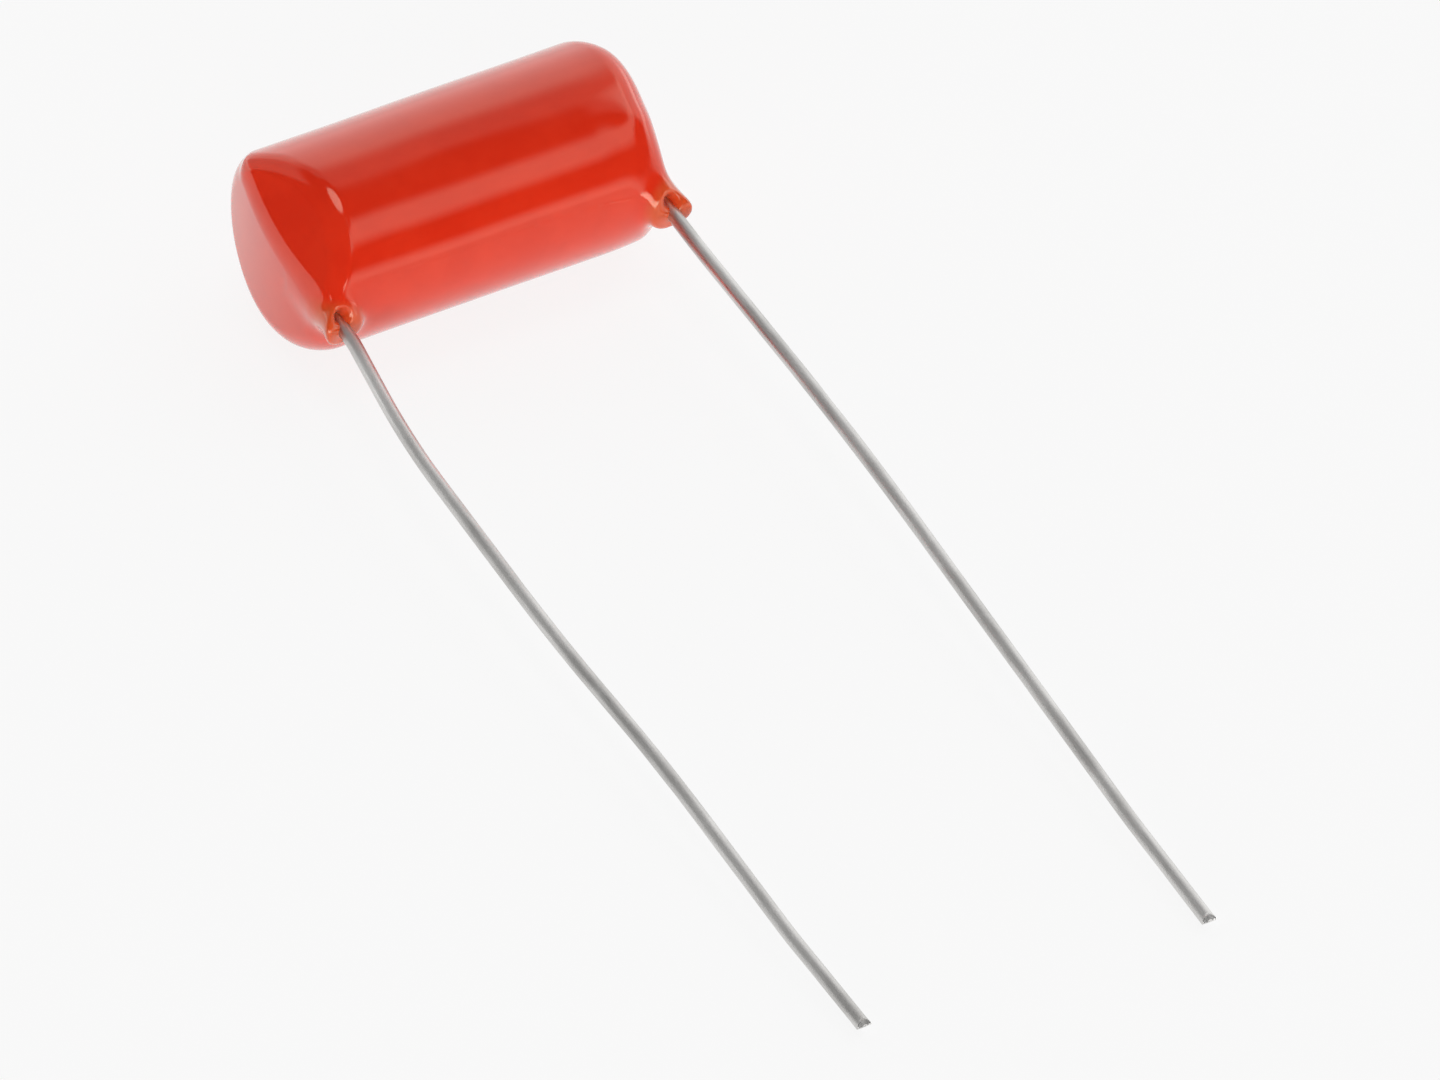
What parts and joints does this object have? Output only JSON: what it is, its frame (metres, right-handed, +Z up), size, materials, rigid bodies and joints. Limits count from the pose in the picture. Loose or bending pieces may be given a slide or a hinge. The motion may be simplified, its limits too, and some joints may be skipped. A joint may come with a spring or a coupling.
{
  "type": "film capacitor",
  "caption": "Dipped film capacitor: a glossy oval orange-red body with bulging ends and long bare wire leads that drop from its ends for soldering to a board.",
  "frame": {"origin": "on the ground under the middle of the bounding box, with the part lying on its belly", "axes": "+X from the left lead to the right lead, the leads run towards -Y, +Z up through the thickness of the body"},
  "size_m": [0.023, 0.0738, 0.0109],
  "materials": {
    "orange_epoxy": "glossy dipped epoxy, slightly uneven",
    "wound_film": "wound polyester film and foil",
    "sprayed_metal": "matt sprayed metal",
    "tinned_wire": "tinned wire, satin with fine draw lines"
  },
  "bodies": {
    "root": {"epoxy_coat": "orange_epoxy", "wound_element": "wound_film", "end_contact_left": "sprayed_metal", "end_contact_right": "sprayed_metal", "lead_left": "tinned_wire", "lead_right": "tinned_wire"}
  },
  "joints": []
}
